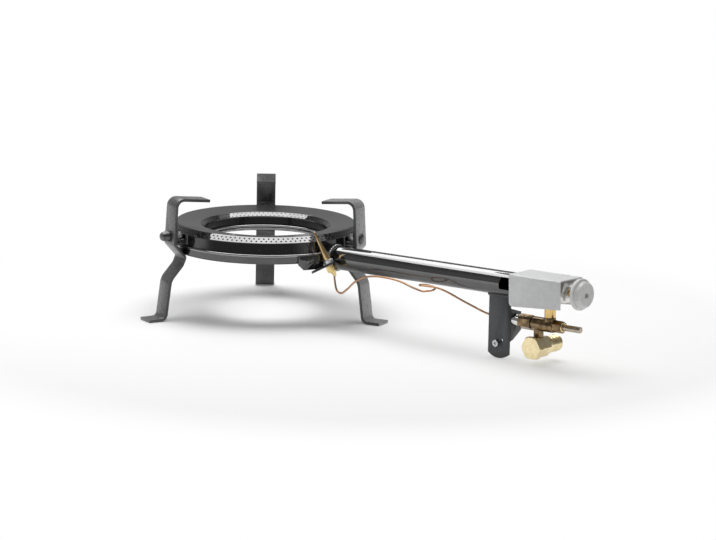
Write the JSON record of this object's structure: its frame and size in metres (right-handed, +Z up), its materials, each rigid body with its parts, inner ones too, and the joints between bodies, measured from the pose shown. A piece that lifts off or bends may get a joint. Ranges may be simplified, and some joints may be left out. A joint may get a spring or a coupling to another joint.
{
  "type": "paella gas burner",
  "caption": "Ring gas burner on three bent legs with a mixer tube to a push-and-turn tap, a flame safety valve and a threaded gas inlet.",
  "frame": {"origin": "on the floor under the middle of the burner ring", "axes": "+X under the mixer tube from the ring to the tap, +Z up, +Y to the side of the gas inlet's thread"},
  "size_m": [0.5247, 0.2469, 0.1254],
  "materials": {
    "enamel": "gloss black enamel",
    "leg_paint": "satin black enamel",
    "bracket_paint": "satin dark grey",
    "zinc": "bright zinc plate",
    "brass": "turned brass",
    "tap_brass": "turned brass",
    "valve_brass": "dull brass",
    "nickel": "nickel plate",
    "rod_steel": "warm polished steel",
    "spring_steel": "drawn wire",
    "seal_rubber": "moulded",
    "gasket": "pressed fibre",
    "grey_paint": "smooth grey paint",
    "knob_plastic": "moulded light grey",
    "probe_brass": "turned brass, dulled by heat",
    "copper_lead": "drawn copper alloy"
  },
  "bodies": {
    "frame": {"burner_top_shell": "enamel", "burner_tray": "enamel", "leg_right": "leg_paint", "leg_rear": "leg_paint", "leg_left": "leg_paint", "lug_right": "leg_paint", "lug_rear": "leg_paint", "lug_left": "leg_paint", "leg_bolts": "zinc", "leg_washers": "zinc", "leg_nuts": "zinc", "mixer_tube": "enamel", "tap_body": "tap_brass", "injector_nozzle": "brass", "tap_bezel": "nickel", "tap_cover": "grey_paint", "cover_screws": "zinc", "safety_valve_body": "valve_brass", "valve_ring_nut": "nickel", "magnet_unit": "nickel", "closing_spring": "spring_steel", "rod_gland_nut": "valve_brass", "rod_seal": "seal_rubber", "lead_end_nut": "nickel", "riser_pipe": "brass", "inlet_block": "brass", "inlet_plug": "brass", "inlet_nipple": "brass", "inlet_washers": "gasket", "valve_bracket": "bracket_paint", "bracket_screw": "zinc", "bracket_nut": "zinc", "probe_tab": "bracket_paint", "flame_probe": "probe_brass", "probe_lock_nut": "zinc", "probe_gland_nut": "probe_brass", "thermocouple_lead": "copper_lead"},
    "plug": {"tap_plug": "brass"},
    "knob": {"knob": "knob_plastic", "tap_spindle": "brass", "knob_screw": "zinc", "tap_spring": "spring_steel"},
    "rod": {"push_rod": "rod_steel", "valve_disc": "seal_rubber", "armature_stem": "nickel"}
  },
  "joints": [
    {"name": "knob_turn", "type": "hinge", "parent": "frame", "child": "plug", "pos_m": [0.37289, 0, 0.07672], "axis": [0.9996, 0, 0.0288], "range_deg": [0, 180]},
    {"name": "knob_push", "type": "slide", "parent": "plug", "child": "knob", "axis": [-0.9996, 0, -0.0288], "range_m": [0, 0.003], "stiffness_N_per_m": 600, "springref_m": -0.003, "deforming": ["tap_spring"]},
    {"name": "rod_push", "type": "slide", "parent": "frame", "child": "rod", "axis": [-0.9996, 0, -0.0288], "range_m": [0, 0.0035], "stiffness_N_per_m": 800, "springref_m": -0.003, "deforming": ["closing_spring"]}
  ]
}
